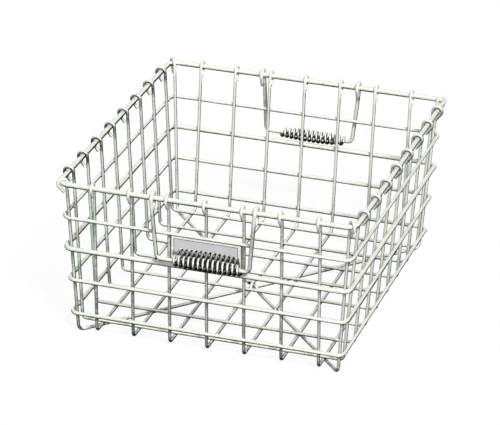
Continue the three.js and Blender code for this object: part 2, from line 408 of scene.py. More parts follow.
@dataclass(frozen=True)
class SheetFinish:
    """Rolled tin sheet: smooth and cool grey with faint rolling lines, a painted highlight along its border
    and painted shade in its pressed line.
    """

    name: str = "tin sheet"
    # Painted highlight of the border, the field's own greys, and near-black painted shade of the pressed
    # line.
    brightened: Colour = (0.84, 0.83, 0.77)
    light: Colour = (0.63, 0.635, 0.645)
    dark: Colour = (0.54, 0.545, 0.555)
    line_shade: Colour = (0.09, 0.09, 0.08)
    stops: tuple[float, ...] = (0.08, 0.4, 0.6, 0.95)
    metallic: float = 0.97
    roughness: Span = (0.07, 0.14)
    patch_scale: float = 45
    patch_gain: float = 0.06
    line_scale: float = 900
    line_stretch: float = 0.03
    line_gain: float = 0.04
    line_strength: float = 0.25
    line_depth: float = 0.00005

    def material(self) -> Material:
        """Makes the finish as a material.

        Returns:
            The material.
        """
        material = bpy.data.materials.new(self.name)
        sheet = NodeSheet(material)
        place = sheet.add("ShaderNodeTexCoord")
        rolled = sheet.add("ShaderNodeMapping")
        rolled.inputs["Scale"].default_value = (self.line_stretch, 1, 1)
        sheet.join(place.outputs["Object"], rolled.inputs["Vector"])
        lines = sheet.noise(rolled.outputs["Vector"], self.line_scale, detail=2)
        patches = sheet.noise(place.outputs["Object"], self.patch_scale, detail=3)
        tone = sheet.add("ShaderNodeAttribute", attribute_name=SHADE_TONE).outputs["Fac"]
        for pattern, gain in ((lines, self.line_gain), (patches, self.patch_gain)):
            tone = sheet.math(Sum.ADD, tone, sheet.stretched(pattern, NOISE_SPAN, (-gain, gain)))
        shades = zip(self.stops, (self.brightened, self.light, self.dark, self.line_shade))
        colour = sheet.ramp(tone, list(shades))
        roughness = sheet.stretched(patches, NOISE_SPAN, self.roughness)
        metal = sheet.metal(colour, roughness, lines, self.line_strength, self.line_depth)
        metal.inputs["Metallic"].default_value = self.metallic
        return material


@dataclass(frozen=True)
class Outline:
    """The sizes that the wires of the basket share."""

    rim_width: float = 0.4
    rim_depth: float = 0.453
    rim_height: float = 0.22
    rim_corner: float = 0.014
    rim_wire: float = 0.007
    floor_width: float = 0.36
    floor_depth: float = 0.412
    floor_diagonal: float = 0.542
    rod_wire: float = 0.0044
    weld_gap: float = 0.0002
    corner_gap: float = 0.0006

    @property
    def layer_step(self) -> float:
        """Height from one layer of the floor's wires to the next."""
        return self.rod_wire + self.weld_gap

    @property
    def diagonal_layer(self) -> float:
        """Height of the diagonals' centres, which lie lowest."""
        return self.rod_wire / 2

    @property
    def long_layer(self) -> float:
        """Height of the long rods' centres, on the diagonals."""
        return self.diagonal_layer + self.layer_step

    @property
    def cross_layer(self) -> float:
        """Height of the cross rods' centres, on the long rods."""
        return self.long_layer + self.layer_step

    @property
    def corner_centre(self) -> Vector:
        """Centre of the rim's bend at the back right corner."""
        return Vector((self.rim_width / 2 - self.rim_corner, self.rim_depth / 2 - self.rim_corner))

    @property
    def diagonal_angle(self) -> float:
        """Angle of the diagonals from the line across the basket."""
        return math.atan2(self.corner_centre.y, self.corner_centre.x)

    @property
    def diagonal_reach(self) -> float:
        """Distance from the basket's middle to the rim at a corner."""
        return self.corner_centre.length + self.rim_corner


class Bench:
    """A bench on which one section is drawn out straight and bent round formers."""

    bend_step: float = math.radians(11.25)
    merge_gap: float = 1e-6
    crease: float = math.radians(40)

    def __init__(self, heading: Vector) -> None:
        """Takes the section that was just added as the start of the piece.

        Args:
            heading: The way that the section is drawn first.
        """
        self.piece = bpy.context.object
        self.position = self.piece.location.copy()
        self.heading = heading.normalized()
        bpy.ops.object.transform_apply(location=True, rotation=True, scale=True)
        bpy.ops.object.mode_set(mode="EDIT")
        bpy.ops.mesh.select_all(action="SELECT")

    def run_to(self, point: Vector) -> None:
        """Draws the section on in a straight line.

        Args:
            point: Where the middle of the section comes to.
        """
        step = point - self.position
        bpy.ops.mesh.extrude_region_move(TRANSFORM_OT_translate={"value": step})
        self.position = point.copy()
        self.heading = step.normalized()

    def bend_round(self, centre: Vector, angle: float) -> None:
        """Bends the section round a former.

        Args:
            centre: Centre of the former, square to the heading.
            angle: How far round it goes.
        """
        inward = (centre - self.position).normalized()
        axis = self.heading.cross(inward)
        steps = max(2, math.ceil(angle / self.bend_step))
        bpy.ops.mesh.spin(steps=steps, angle=-angle, center=centre, axis=axis)
        turn = Matrix.Rotation(angle, 3, axis)
        self.position = centre + turn @ (self.position - centre)
        self.heading = turn @ self.heading

    def bend_to(self, direction: Vector, radius: float) -> None:
        """Bends the section until it heads a given way.

        Args:
            direction: The way that it heads after the bend.
            radius: Radius of the bend.
        """
        angle = self.heading.angle(direction)
        inward = (direction.normalized() - self.heading * math.cos(angle)).normalized()
        self.bend_round(self.position + inward * radius, angle)

    def done(self, name: str) -> Piece:
        """Takes the piece off the bench.

        Args:
            name: Name of the piece.

        Returns:
            The closed piece.
        """
        bpy.ops.mesh.select_all(action="SELECT")
        bpy.ops.mesh.remove_doubles(threshold=self.merge_gap)
        bpy.ops.mesh.normals_make_consistent(inside=False)
        bpy.ops.object.mode_set(mode="OBJECT")
        bpy.ops.object.shade_smooth_by_angle(angle=self.crease)
        self.piece.name = name
        self.piece.data.name = name
        return self.piece


class WireBench(Bench):
    """A bench for round wire, whose cut ends have a small chamfer."""

    end_share: float = 0.72
    chamfer_share: float = 0.11

    def __init__(self, diameter: float, sides: int, start: Vector, heading: Vector) -> None:
        """Cuts the first end of the wire.

        Args:
            diameter: Diameter of the wire.
            sides: How many sides its round section has.
            start: The middle of its first end.
            heading: The way that it is drawn first.
        """
        deselect()
        bpy.ops.mesh.primitive_circle_add(
            vertices=sides,
            radius=diameter / 2 * self.end_share,
            fill_type="NGON",
            location=start,
            rotation=heading.to_track_quat("Z", "Y").to_euler(),
        )
        super().__init__(heading)
        self.chamfer = diameter * self.chamfer_share
        self.run_to(self.position + self.heading * self.chamfer)
        self._resize(1 / self.end_share)

    def _resize(self, share: float) -> None:
        """Makes the drawn end wider or narrower."""
        bpy.ops.transform.resize(value=(share, share, share), center_override=self.position)

    def end_at(self, point: Vector, name: str) -> Piece:
        """Draws the wire to its last end and takes it off the bench.

        Args:
            point: The middle of its last end.
            name: Name of the piece.

        Returns:
            The closed wire.
        """
        self.run_to(point - (point - self.position).normalized() * self.chamfer)
        self.run_to(point)
        self._resize(self.end_share)
        return self.done(name)


class SheetBench(Bench):
    """A bench for an upright strip of sheet."""

    crease: float = math.radians(30)

    def __init__(self, thickness: float, height: float, start: Vector, heading: Vector) -> None:
        """Cuts the first end of the strip.

        Args:
            thickness: Thickness of the sheet.
            height: Height of the strip.
            start: The middle of its first end.
            heading: The way that it is drawn first.
        """
        deselect()
        bpy.ops.mesh.primitive_plane_add(
            size=1,
            location=start,
            rotation=heading.to_track_quat("Z", "Y").to_euler(),
        )
        bpy.context.object.scale = (thickness, height, 1)
        super().__init__(heading)


@dataclass(frozen=True)
class HookedRod:
    """A rod along the floor, up two walls that face each other, and over the rim in closed hooks."""

    outline: Outline
    rim_reach: float
    foot_reach: float
    layer: float
    foot_bend: float
    joggle_rise: float = 0
    joggle_top: float = 0.007
    joggle_run: float = 0.01
    hook_play: float = 0.00055
    tail_drop: float = 0.0135
    tail_gap: float = 0.0001
    sides: int = 12

    @property
    def hook_radius(self) -> float:
        """Radius of the hook's bend over the rim."""
        return (self.outline.rim_wire + self.outline.rod_wire) / 2 + self.hook_play

    @property
    def lean(self) -> float:
        """How far the upright leans out, from its foot to where it runs onto its hook.

        Returns:
            The angle from the vertical.
        """
        across = self.rim_reach - self.foot_reach
        rise = self.outline.rim_height - self.layer
        return math.atan2(across, rise) - math.asin(self.hook_radius / math.hypot(across, rise))

    def reach_at(self, height: float) -> float:
        """Distance of the upright's centre from the basket's middle, at one height."""
        return self.foot_reach + (height - self.layer) * math.tan(self.lean)

    def bend(self, name: str, across: Vector) -> Piece:
        """Bends the rod.

        Args:
            name: Name of the piece.
            across: The way that the rod runs over the floor.

        Returns:
            The rod, through the middle of the basket.
        """
        lean, radius, rim_height = self.lean, self.hook_radius, self.outline.rim_height
        tail_across = (self.outline.rod_wire + self.tail_gap - radius) / math.cos(lean)
        tail_across -= math.tan(lean) * self.tail_drop
        tail_angle = math.atan2(-self.tail_drop, tail_across)
        tail_angle += math.acos(radius / math.hypot(tail_across, self.tail_drop))
        hook = math.pi - lean - tail_angle

        def at(side: int, reach: float, height: float) -> Vector:
            """A point of the rod's plane on one side of the basket."""
            return across * side * reach + UP * height

        def on_hook(side: int, angle: float) -> Vector:
            """A point on the hook's bend."""
            return at(side, self.rim_reach + radius * math.cos(angle), rim_height + radius * math.sin(angle))

        tail_reach = self.rim_reach + tail_across
        first_tail = at(-1, tail_reach, rim_height - self.tail_drop)
        upright = across * math.sin(lean) + UP * math.cos(lean)
        downward = across * math.sin(lean) - UP * math.cos(lean)
        setback = self.foot_bend * math.tan((math.pi / 2 - lean) / 2)
        heading = on_hook(-1, tail_angle) - first_tail
        bench = WireBench(self.outline.rod_wire, self.sides, first_tail, heading)
        bench.run_to(on_hook(-1, tail_angle))
        bench.bend_round(at(-1, self.rim_reach, rim_height), hook)
        bench.run_to(at(-1, self.foot_reach, self.layer) - downward * setback)
        bench.bend_to(across, self.foot_bend)
        if self.joggle_rise:
            self._joggle(bench, across)
        bench.run_to(at(1, self.foot_reach - setback, self.layer))
        bench.bend_to(upright, self.foot_bend)
        bench.run_to(on_hook(1, math.pi - lean))
        bench.bend_round(at(1, self.rim_reach, rim_height), hook)
        return bench.end_at(at(1, tail_reach, rim_height - self.tail_drop), name)

    def _joggle(self, bench: WireBench, across: Vector) -> None:
        """Lifts the rod over the wires that cross below the middle of the floor.

        Args:
            bench: The bench that the rod is on.
            across: The way that the rod runs.
        """
        slope = 2 * math.atan(self.joggle_rise / self.joggle_run)
        radius = self.joggle_run / (2 * math.sin(slope))
        rising = across * math.cos(slope) + UP * math.sin(slope)
        falling = across * math.cos(slope) - UP * math.sin(slope)
        bench.run_to(across * -(self.joggle_top + self.joggle_run) + UP * self.layer)
        bench.bend_to(rising, radius)
        bench.bend_to(across, radius)
        bench.run_to(across * self.joggle_top + UP * (self.layer + self.joggle_rise))
        bench.bend_to(falling, radius)
        bench.bend_to(across, radius)


@dataclass(frozen=True)
class WallRods:
    """Rods an even pitch apart, which stand in two walls that face each other."""

    outline: Outline
    count: int
    pitch: float
    foot_bend: float = 0.007

    @property
    def places(self) -> list[float]:
        """Where the rods stand along their walls."""
        return [(number - (self.count - 1) / 2) * self.pitch for number in range(self.count)]


@dataclass(frozen=True)
class LongRods(WallRods):
    """The rods from front to back, which stand in the front and back walls."""

    count: int = 7
    pitch: float = 0.0508

    def rod(self, rise: float = 0) -> HookedRod:
        """One of these rods.

        Args:
            rise: How far it steps up in the middle of the floor.

        Returns:
            The rod, to be bent.
        """
        shape = self.outline
        reaches = (shape.rim_depth / 2, shape.floor_depth / 2)
        return HookedRod(shape, *reaches, shape.long_layer, self.foot_bend, rise)

    def build(self, finish: Material) -> None:
        """Bends the plain rod, copies it along the wall, and bends the middle rod by itself.

        Args:
            finish: The wire's material.
        """
        plain = self.rod().bend("long_wire", BACKWARD)
        for number, place in enumerate(self.places, start=1):
            name = f"long_wire_{number}"
            if abs(place) < self.pitch / 2:
                piece = self.rod(self.outline.layer_step).bend(name, BACKWARD)
            else:
                piece = copied(plain, name, Matrix.Translation(ALONG * place))
            fasten(piece, Body.FRAME, Slot.WIRE, finish, f"long_rod_{number}")
        bpy.data.objects.remove(plain)


@dataclass(frozen=True)
class CrossRods(WallRods):
    """The rods from side to side, which stand in the side walls."""

    count: int = 8
    pitch: float = 0.05275

    def rod(self) -> HookedRod:
        """One of these rods.

        Returns:
            The rod, to be bent.
        """
        shape = self.outline
        reaches = (shape.rim_width / 2, shape.floor_width / 2)
        return HookedRod(shape, *reaches, shape.cross_layer, self.foot_bend)

    def build(self, finish: Material) -> None:
        """Bends one rod and copies it along the walls.

        Args:
            finish: The wire's material.
        """
        plain = self.rod().bend("cross_wire", ALONG)
        for number, place in enumerate(self.places, start=1):
            piece = copied(plain, f"cross_wire_{number}", Matrix.Translation(BACKWARD * place))
            fasten(piece, Body.FRAME, Slot.WIRE, finish, f"cross_rod_{number}")
        bpy.data.objects.remove(plain)


@dataclass(frozen=True)
class CornerRods:
    """The two diagonals under the floor, which stand in the four corners."""

    outline: Outline
    foot_bend: float = 0.009

    def rod(self, rise: float = 0) -> HookedRod:
        """One of the diagonals.

        Args:
            rise: How far it steps up in the middle of the floor.

        Returns:
            The rod, to be bent.
        """
        shape = self.outline
        reaches = (shape.diagonal_reach, shape.floor_diagonal / 2)
        return HookedRod(shape, *reaches, shape.diagonal_layer, self.foot_bend, rise)

    def build(self, finish: Material) -> None:
        """Bends both diagonals, the second over the first.

        Args:
            finish: The wire's material.
        """
        angle = self.outline.diagonal_angle
        for name, turn, rise in (("under", angle, 0), ("over", -angle, self.outline.layer_step)):
            across = Vector((math.cos(turn), math.sin(turn), 0))
            piece = self.rod(rise).bend(f"{name}_corner_wire", across)
            fasten(piece, Body.FRAME, Slot.WIRE, finish, f"{name}_diagonal_rod")


@dataclass(frozen=True)
class WireHoop:
    """A round-cornered rectangle of wire at one height, its ends meeting along the back wall."""

    half_width: float
    half_depth: float
    height: float
    corner: float
    diameter: float
    butt_x: float = 0.025
    butt_gap: float = 0.0004
    sides: int = 14

    def bend(self, name: str) -> Piece:
        """Bends the hoop.

        Args:
            name: Name of the piece.

        Returns:
            The hoop, open by a hair at its butt joint.
        """
        def at(x: float, y: float) -> Vector:
            """A point at the hoop's height."""
            return Vector((x, y, self.height))

        width, depth, corner = self.half_width, self.half_depth, self.corner
        start = at(self.butt_x + self.butt_gap / 2, depth)
        bends = (
            (at(width - corner, depth), -BACKWARD),
            (at(width, corner - depth), -ALONG),
            (at(corner - width, -depth), BACKWARD),
            (at(-width, depth - corner), ALONG),
        )
        bench = WireBench(self.diameter, self.sides, start, ALONG)
        for place, heading in bends:
            bench.run_to(place)
            bench.bend_to(heading, corner)
        return bench.end_at(at(self.butt_x - self.butt_gap / 2, depth), name)

    @property
    def butt(self) -> Vector:
        """The middle of the butt joint."""
        return Vector((self.butt_x, self.half_depth, self.height))


@dataclass(frozen=True)
class Hoops:
    """The stout rim and the bands welded round the outside of the uprights."""

    outline: Outline
    heights: tuple[float, ...] = (0.171, 0.126, 0.08, 0.0305)
    diameters: tuple[float, ...] = (0.0048, 0.0066, 0.0052, 0.0052)
    names: tuple[str, ...] = ("upper", "stout", "middle", "lower")

    @property
    def rim(self) -> WireHoop:
        """The rim.

        Returns:
            The hoop, to be bent.
        """
        shape = self.outline
        halves = (shape.rim_width / 2, shape.rim_depth / 2)
        return WireHoop(*halves, shape.rim_height, shape.rim_corner, shape.rim_wire)

    @property
    def bands(self) -> list[WireHoop]:
        """The bands, each against the uprights and the corner rods at its height.

        Returns:
            The hoops, to be bent, from the top down.
        """
        shape = self.outline
        along, back = math.cos(shape.diagonal_angle), math.sin(shape.diagonal_angle)
        bands = []
        for height, diameter in zip(self.heights, self.diameters):
            touch = (shape.rod_wire + diameter) / 2
            half_width = CrossRods(shape).rod().reach_at(height) + touch + shape.weld_gap
            half_depth = LongRods(shape).rod().reach_at(height) + touch + shape.weld_gap
            corner_reach = CornerRods(shape).rod().reach_at(height) + touch + shape.corner_gap
            corner = (half_width * along + half_depth * back - corner_reach) / (along + back - 1)
            bands.append(WireHoop(half_width, half_depth, height, corner, diameter))
        return bands

    def build(self, finish: Material) -> None:
        """Bends the rim and the bands.

        Args:
            finish: The wire's material.
        """
        fasten(self.rim.bend("rim_hoop"), Body.FRAME, Slot.WIRE, finish, "rim_wire")
        for name, band in zip(self.names, self.bands):
            fasten(band.bend(f"{name}_hoop"), Body.FRAME, Slot.WIRE, finish, f"{name}_band")


@dataclass(frozen=True)
class Welds:
    """The nuggets where crossing wires are fused, and the beads over the butt joints."""

    outline: Outline
    nugget_radius: float = 0.0023
    nugget_thickness: float = 0.0024
    bead_share: float = 1.05
    bead_length: float = 0.0024
    segments: int = 10
    rings: int = 6

    def _drop(self, radius: float, thickness: float) -> Piece:
        """A flattened drop of metal, its short way along Z.

        Args:
            radius: Its radius across.
            thickness: Its whole thickness.

        Returns:
            The drop, at the origin.
        """
        deselect()
        bpy.ops.mesh.primitive_uv_sphere_add(segments=self.segments, ring_count=self.rings, radius=radius)
        drop = bpy.context.object
        drop.scale = (1, 1, thickness / (2 * radius))
        bpy.ops.object.transform_apply(location=True, rotation=True, scale=True)
        bpy.ops.object.shade_smooth()
        return drop

    def _stamp(self, drop: Piece, spots: list[Spot]) -> list[Piece]:
        """Copies a drop to each spot.

        Args:
            drop: The drop, its short way along Z.
            spots: Where each copy goes, with the way that its short side faces.

        Returns:
            The copies.
        """
        copies = []
        for place, facing in spots:
            turn = facing.to_track_quat("Z", "Y").to_matrix().to_4x4()
            copies.append(copied(drop, "drop", Matrix.Translation(place) @ turn))
        return copies

    def _wall_spots(self) -> list[Spot]:
        """Where the bands touch the uprights and the corner rods.

        Returns:
            The place of each weld, with the way that its short side faces.
        """
        shape = self.outline
        long_rods, cross_rods, corner_rods = LongRods(shape), CrossRods(shape), CornerRods(shape)
        touch = (shape.rod_wire + shape.weld_gap) / 2
        corner_touch = (shape.rod_wire + shape.corner_gap) / 2
        spots = []
        for band in Hoops(shape).bands:
            rise = UP * band.height
            for side in (-1, 1):
                for x in long_rods.places:
                    reach = long_rods.rod().reach_at(band.height) + touch
                    spots.append((ALONG * x + BACKWARD * side * reach + rise, BACKWARD))
                for y in cross_rods.places:
                    reach = cross_rods.rod().reach_at(band.height) + touch
                    spots.append((ALONG * side * reach + BACKWARD * y + rise, ALONG))
                for turn in (shape.diagonal_angle, -shape.diagonal_angle):
                    outward = Vector((math.cos(turn), math.sin(turn), 0)) * side
                    reach = corner_rods.rod().reach_at(band.height) + corner_touch
                    spots.append((outward * reach + rise, outward))
        return spots

    def _floor_spots(self) -> list[Spot]:
        """Where the wires of the floor lie on each other.

        Returns:
            The place of each weld, with the way that its short side faces.
        """
        shape = self.outline
        long_rods, cross_rods = LongRods(shape), CrossRods(shape)
        low = (shape.diagonal_layer + shape.long_layer) / 2
        high = (shape.long_layer + shape.cross_layer) / 2
        slope = math.tan(shape.diagonal_angle)
        spots = [(Vector((0, 0, height)), UP) for height in (low, high)]
        for x in long_rods.places:
            spots += [(Vector((x, y, high)), UP) for y in cross_rods.places]
            if abs(x) > long_rods.pitch / 2:
                spots += [(Vector((x, side * x * slope, low)), UP) for side in (-1, 1)]
        return spots

    def build(self, finish: Material, ground: Material) -> None:
        """Stamps the nuggets of the walls and the floor and the ground-down beads of the butt joints.

        Args:
            finish: The weld metal's material.
            ground: The material of a bead that was ground as bright as the wire.
        """
        drop = self._drop(self.nugget_radius, self.nugget_thickness)
        for name, spots in (("wall_welds", self._wall_spots()), ("floor_welds", self._floor_spots())):
            piece = joined(self._stamp(drop, spots), name)
            fasten(piece, Body.FRAME, Slot.WIRE, finish)
        bpy.data.objects.remove(drop)
        hoops = Hoops(self.outline)
        beads = []
        for hoop in (hoops.rim, *hoops.bands):
            bead = self._drop(hoop.diameter / 2 * self.bead_share, self.bead_length)
            beads += self._stamp(bead, [(hoop.butt, ALONG)])
            bpy.data.objects.remove(bead)
        fasten(joined(beads, "butt_welds"), Body.FRAME, Slot.WIRE, ground)


@dataclass(frozen=True)
class LabelPlate:
    """The bare plate between two bands, its ends behind two uprights, with a line pressed in it."""

    outline: Outline
    thickness: float = 0.0008
    height: float = 0.0384
    play: float = 0.0004
    curl: float = math.radians(75)
    border: float = 0.003
    side_border: float = 0.0008
    groove: float = 0.0007
    press: float = 0.0004
    front_facing: float = -0.99
    edge_round: float = 0.00015
    edge_angle: float = math.radians(25)
    field_tone: float = 0.5

    def build(self, finish: Material) -> None:
        """Rolls the plate, presses its middle and sets it on the wall.

        Args:
            finish: The sheet's material.
        """
        plate = self._roll()
        self._press(plate)
        # Painted highlight on the border and painted shade in the pressed line.
        paint_shade_tone(plate, self._border_and_line_tone)
        plate.data.transform(self._place())
        fasten(plate, Body.FRAME, Slot.SHEET, finish, "label_plate")

    @property
    def bend_radius(self) -> float:
        """Radius of the bends at the plate's ends, to the middle of the sheet."""
        return self.outline.rod_wire / 2 + self.play + self.thickness / 2

    @property
    def flat_reach(self) -> float:
        """How far the plate is flat, from its middle."""
        return LongRods(self.outline).pitch - 2 * self.bend_radius

    def _roll(self) -> Piece:
        """Rolls the strip from behind one upright, out before the middle one, and back behind the last.

        Returns:
            The strip, upright about the origin.
        """
        span = LongRods(self.outline).pitch
        lift = UP * self.height / 2
        curl = math.pi - self.curl
        outward = Vector((math.cos(curl), math.sin(curl), 0))
        left = lift - ALONG * span
        bench = SheetBench(self.thickness, self.height, left + outward * self.bend_radius, outward.cross(UP))
        bench.bend_round(left, curl)
        bench.bend_round(lift - ALONG * self.flat_reach, math.pi / 2)
        bench.run_to(lift + ALONG * self.flat_reach - BACKWARD * self.bend_radius)
        bench.bend_round(lift + ALONG * self.flat_reach, math.pi / 2)
        bench.bend_round(lift + ALONG * span, curl)
        return bench.done("label_sheet")

    def _press(self, plate: Piece) -> None:
        """Presses a line into the plate inside a border, and rounds its edges.

        Args:
            plate: The rolled strip.
        """
        bpy.ops.object.mode_set(mode="EDIT")
        bpy.ops.mesh.select_mode(type="FACE")
        bpy.ops.mesh.select_all(action="DESELECT")
        bpy.ops.object.mode_set(mode="OBJECT")
        for face in plate.data.polygons:
            flat = face.area > self.flat_reach * self.height
            face.select = flat and face.normal.y < self.front_facing
        bpy.ops.object.mode_set(mode="EDIT")
        bpy.ops.mesh.inset(thickness=self.border, depth=0)
        widening = (self.flat_reach - self.side_border) / (self.flat_reach - self.border)
        bpy.ops.transform.resize(value=(widening, 1, 1), center_override=(0, 0, 0))
        bpy.ops.mesh.inset(thickness=self.groove, depth=-self.press)
        bpy.ops.mesh.inset(thickness=self.groove, depth=self.press)
        bpy.ops.object.mode_set(mode="OBJECT")
        rounding = plate.modifiers.new("rounded edges", "BEVEL")
        rounding.width = self.edge_round
        rounding.segments = 2
        rounding.limit_method = "ANGLE"
        rounding.angle_limit = self.edge_angle
        bpy.ops.object.modifier_apply(modifier=rounding.name)
        bpy.ops.object.shade_smooth_by_angle(angle=SheetBench.crease)

    def _border_and_line_tone(self, vertex: Vertex) -> float:
        """The plate's painted tone: a painted highlight along its border, its own grey in the field, and
        painted shade in the pressed line.

        Args:
            vertex: A point of the plate, still about the origin.

        Returns:
            The tone, from 0 for bright to 1 for dark.
        """
        inset = min(vertex.co.z, self.height - vertex.co.z) - self.border
        inset = min(inset, self.flat_reach - abs(vertex.co.x) - self.side_border)
        if inset < self.groove / 2:
            return 0
        return 1 if inset < self.groove * 1.5 else self.field_tone

    def _place(self) -> Matrix:
        """Where the plate goes: just under the upper band, leaning as the wall does.

        Returns:
            The move from the origin.
        """
        hoops = Hoops(self.outline)
        rod = LongRods(self.outline).rod()
        top = hoops.heights[0] - hoops.diameters[0] / 2 - self.play
        bottom = top - self.height * math.cos(rod.lean)
        place = Vector((0, -rod.reach_at(bottom), bottom))
        return Matrix.Translation(place) @ Matrix.Rotation(rod.lean, 4, "X")


@dataclass(frozen=True)
class Bail:
    """The wire of a drop handle, about the rim's axis, hanging down with its eyes round the rim."""

    outline: Outline
    wire: float = 0.0054
    eye_width: float = 0.139
    bar_width: float = 0.1255
    bar_drop: float = 0.083
    corner: float = 0.007
    eye_play: float = 0.0011
    eye_drop: float = 0.016
    eye_gap: float = 0.0003
    leg_bend: float = 0.02
    bar_steps: int = 30
    sides: int = 14

    @property
    def eye_radius(self) -> float:
        """Radius of the eye's bend round the rim."""
        return (self.outline.rim_wire + self.wire) / 2 + self.eye_play

    def bend(self, name: str) -> Piece:
        """Bends the bail.

        Args:
            name: Name of the piece.

        Returns:
            The bail, about the origin, with its legs on the -Y side of the rim.
        """
        radius = self.eye_radius
        tail_across = radius - self.wire - self.eye_gap
        tail_angle = math.atan2(-self.eye_drop, tail_across) + 2 * math.pi
        tail_angle -= math.acos(radius / math.hypot(tail_across, self.eye_drop))

        def at(side: int, x: float, outward: float, rise: float) -> Vector:
            """A point on one half of the bail."""
            return Vector((side * x, -outward, rise))

        def on_eye(side: int, angle: float) -> Vector:
            """A point on the eye's bend."""
            return at(side, self.eye_width / 2, radius * math.cos(angle), radius * math.sin(angle))

        first_tail = at(-1, self.eye_width / 2, tail_across, -self.eye_drop)
        bar_end = at(-1, self.bar_width / 2, radius, -self.bar_drop)
        heading = on_eye(-1, tail_angle) - first_tail
        bench = WireBench(self.wire, self.sides, first_tail, heading)
        bench.run_to(on_eye(-1, tail_angle))
        bench.bend_round(at(-1, self.eye_width / 2, 0, 0), tail_angle)
        bench.bend_to(bar_end - bench.position, self.leg_bend)
        leg = (bar_end - bench.position).normalized()
        leg_top = bench.position.copy()
        setback = self.corner * math.tan(leg.angle(ALONG) / 2)
        bench.run_to(bar_end - leg * setback)
        bench.bend_to(ALONG, self.corner)
        bar_start = bench.position.copy()
        for step in range(1, self.bar_steps + 1):
            bench.run_to(bar_start - ALONG * 2 * bar_start.x * step / self.bar_steps)
        bench.bend_to(Vector((leg.x, leg.y, -leg.z)), self.corner)
        bench.run_to(Vector((-leg_top.x, leg_top.y, leg_top.z)))
        bench.bend_to(UP, self.leg_bend)
        bench.bend_round(at(1, self.eye_width / 2, 0, 0), tail_angle)
        return bench.end_at(at(1, self.eye_width / 2, tail_across, -self.eye_drop), name)

    def on_bar(self, place: Vector) -> bool:
        """Whether a place is on the bar."""
        return place.z < self.wire - self.bar_drop


@dataclass(frozen=True)
class CoilGrip:
    """The coil spring on a handle's bar: a right-handed winding that swells in the middle."""

    turns: int = 14
    length: float = 0.0924
    end_diameter: float = 0.0142
    middle_diameter: float = 0.0184
    wire: float = 0.0036
    sides: int = 12
    steps_per_turn: int = 20

    def _radius(self, share: float) -> float:
        """Radius of the winding's centre line at some share of its length."""
        swell = (self.middle_diameter - self.end_diameter) * math.sin(math.pi * share)
        return (self.end_diameter + swell - self.wire) / 2

    def wind(self, name: str) -> Piece:
        """Winds the coil, a short step of the wire at a time.

        Args:
            name: Name of the piece.

        Returns:
            The coil, along X about the origin.
        """
        steps = self.turns * self.steps_per_turn
        turn = 2 * math.pi / self.steps_per_turn
        start = Vector((-self.length / 2, self._radius(0), 0))
        bench = WireBench(self.wire, self.sides, start, UP)
        for step in range(1, steps + 1):
            angle = turn * (step - 1)
            growth = self._radius(step / steps) - self._radius((step - 1) / steps)
            shift = Vector((self.length / steps, growth * math.cos(angle), growth * math.sin(angle)))
            bpy.ops.mesh.extrude_region_move(TRANSFORM_OT_translate={"value": shift})
            bpy.ops.transform.rotate(value=-turn, orient_axis="X", center_override=(0, 0, 0))
        coil = bench.done(name)
        # Painted shade between the turns and inside the coil.
        paint_shade_tone(coil, self._inner_shade)
        return coil

    def _inner_shade(self, vertex: Vertex) -> float:
        """Painted shade at a point of the coil: none on the outside, most between the turns and within."""
        outward = Vector((0, vertex.co.y, vertex.co.z)).normalized()
        return min(1, max(0, 1 - vertex.normal.dot(outward)))


@dataclass(frozen=True)
class Handles:
    """The two drop handles, each a bail with a coil grip on its bar."""

    outline: Outline
    bail: Bail
    grip: CoilGrip = field(default_factory=CoilGrip)
    lean: float = math.radians(3.7)
    # Painted shade on each bar inside its grip.
    front_bar_shade: float = 0.75
    back_bar_shade: float = 0.5
    unshaded_end: float = 0.004
    front_x: float = -0.0005
    back_x: float = 0.006
    front_shift: float = 0.006
    back_shift: float = -0.0065

    def build(self, wire: Material, spring: Material) -> None:
        """Bends one bail and winds one grip, and sets a copy of each in the front and back walls.

        Args:
            wire: The bails' material.
            spring: The grips' material.
        """
        bail = self.bail.bend("bail")
        coil = self.grip.wind("coil")
        half_depth = self.outline.rim_depth / 2
        sides = (
            ("front", 0, Vector((self.front_x, -half_depth, 0)), self.front_shift, self.front_bar_shade),
            ("back", math.pi, Vector((self.back_x, half_depth, 0)), self.back_shift, self.back_bar_shade),
        )
        for name, turn, foot, shift, painted_darkness in sides:
            hinge = Matrix.Translation(foot + UP * self.outline.rim_height)
            swing = hinge @ Matrix.Rotation(turn, 4, "Z") @ Matrix.Rotation(self.lean, 4, "X")
            on_bar = Matrix.Translation((shift, -self.bail.eye_radius, -self.bail.bar_drop))
            handle = copied(bail, f"{name}_drop_handle", Matrix())
            # Painted shade on the bar inside the grip.
            self._shade_bar(handle, shift, painted_darkness)
            handle.data.transform(swing)
            fasten(handle, Body(f"{name}_handle"), Slot.WIRE, wire, f"{name}_bail")
            grip = copied(coil, f"{name}_spring_grip", swing @ on_bar)
            fasten(grip, Body(f"{name}_grip"), Slot.SPRING, spring, f"{name}_coil_grip")
        bpy.data.objects.remove(bail)
        bpy.data.objects.remove(coil)

    def _shade_bar(self, handle: Piece, shift: float, painted_darkness: float) -> None:
        """Paints shade on the bar of a handle where it lies within its grip.

        Args:
            handle: The bail, still about the origin.
            shift: How far along the bar the middle of the grip lies.
            painted_darkness: How dark the bar is painted within the grip.
        """
        reach = self.grip.length / 2 - self.unshaded_end

        def depth(vertex: Vertex) -> float:
            """The painted shade at a point of the bail."""
            within = abs(vertex.co.x - shift) < reach and self.bail.on_bar(vertex.co)
            return painted_darkness if within else 0

        paint_shade_tone(handle, depth)


@dataclass(frozen=True)
class Lamp:
    """A soft lamp far away, with its azimuth to the right of the front and its height as angles."""

    name: str
    strength: float
    azimuth: float
    elevation: float
    spread: float

    def hang(self) -> None:
        """Hangs the lamp."""
        lamp = bpy.data.lights.new(self.name, "SUN")
        lamp.energy = self.strength
        lamp.angle = self.spread
        holder = bpy.data.objects.new(self.name, lamp)
        holder.rotation_euler = (math.pi / 2 - self.elevation, 0, self.azimuth)
        bpy.context.scene.collection.objects.link(holder)


